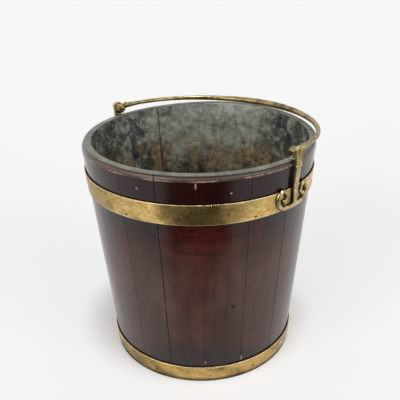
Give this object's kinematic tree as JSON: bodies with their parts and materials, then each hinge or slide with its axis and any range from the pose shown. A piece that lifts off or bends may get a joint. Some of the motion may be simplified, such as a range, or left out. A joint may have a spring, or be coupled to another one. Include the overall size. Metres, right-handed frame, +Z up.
{
  "type": "peat bucket",
  "caption": "Tapered coopered wooden bucket in two brass hoops, with a sheet metal liner, cast side brackets and a swinging brass bail handle for carrying fuel.",
  "frame": {"origin": "middle of the foot, on the surface that the bucket stands on", "axes": "+Z up along the bucket's own axis, X along the bail's pivot axis, +Y towards the side that the bail lies on at rest"},
  "size_m": [0.3862, 0.3784, 0.3896],
  "materials": {
    "stave_mahogany": "old dark red-brown French polish, worn along the seams and the rim",
    "bottom_wood": "planed and left bare underneath, darkened with age",
    "sheet_brass": "aged and polished by hand, darker in patches",
    "cast_brass": "cast, filed and polished, dark in the recesses",
    "liner_sheet": "dull grey-green zinc sheet with pale streaks and brown stains"
  },
  "bodies": {
    "root": {"stave_01": "stave_mahogany", "stave_02": "stave_mahogany", "stave_03": "stave_mahogany", "stave_04": "stave_mahogany", "stave_05": "stave_mahogany", "stave_06": "stave_mahogany", "stave_07": "stave_mahogany", "stave_08": "stave_mahogany", "stave_09": "stave_mahogany", "stave_10": "stave_mahogany", "stave_11": "stave_mahogany", "stave_12": "stave_mahogany", "stave_13": "stave_mahogany", "stave_14": "stave_mahogany", "stave_15": "stave_mahogany", "stave_16": "stave_mahogany", "stave_17": "stave_mahogany", "stave_18": "stave_mahogany", "bottom_board_1": "bottom_wood", "bottom_board_2": "bottom_wood", "bottom_board_3": "bottom_wood", "bottom_dowel_1": "bottom_wood", "bottom_dowel_2": "bottom_wood", "bottom_dowel_3": "bottom_wood", "bottom_dowel_4": "bottom_wood", "upper_band": "sheet_brass", "lower_band": "sheet_brass", "upper_band_rivet_1": "sheet_brass", "upper_band_rivet_2": "sheet_brass", "lower_band_rivet_1": "sheet_brass", "lower_band_rivet_2": "sheet_brass", "upper_band_pin_1": "sheet_brass", "upper_band_pin_2": "sheet_brass", "upper_band_pin_3": "sheet_brass", "upper_band_pin_4": "sheet_brass", "upper_band_pin_5": "sheet_brass", "upper_band_pin_6": "sheet_brass", "lower_band_pin_1": "sheet_brass", "lower_band_pin_2": "sheet_brass", "lower_band_pin_3": "sheet_brass", "lower_band_pin_4": "sheet_brass", "lower_band_pin_5": "sheet_brass", "lower_band_pin_6": "sheet_brass", "liner_wall": "liner_sheet", "liner_floor": "liner_sheet", "liner_rim": "liner_sheet", "bracket_right": "cast_brass", "bracket_left": "cast_brass", "bulb_rivet_right_1": "cast_brass", "bulb_rivet_right_2": "cast_brass", "bulb_rivet_left_1": "cast_brass", "bulb_rivet_left_2": "cast_brass", "foot_rivet_right_1": "cast_brass", "foot_rivet_left_1": "cast_brass", "pivot_pin_right": "cast_brass", "pivot_pin_left": "cast_brass"},
    "bail": {"bail": "cast_brass"}
  },
  "joints": [
    {"name": "bail_swing", "type": "hinge", "parent": "root", "child": "bail", "pos_m": [0, -0.0043, 0.3808], "axis": [1, 0, 0], "range_deg": [0, 187.5]}
  ]
}
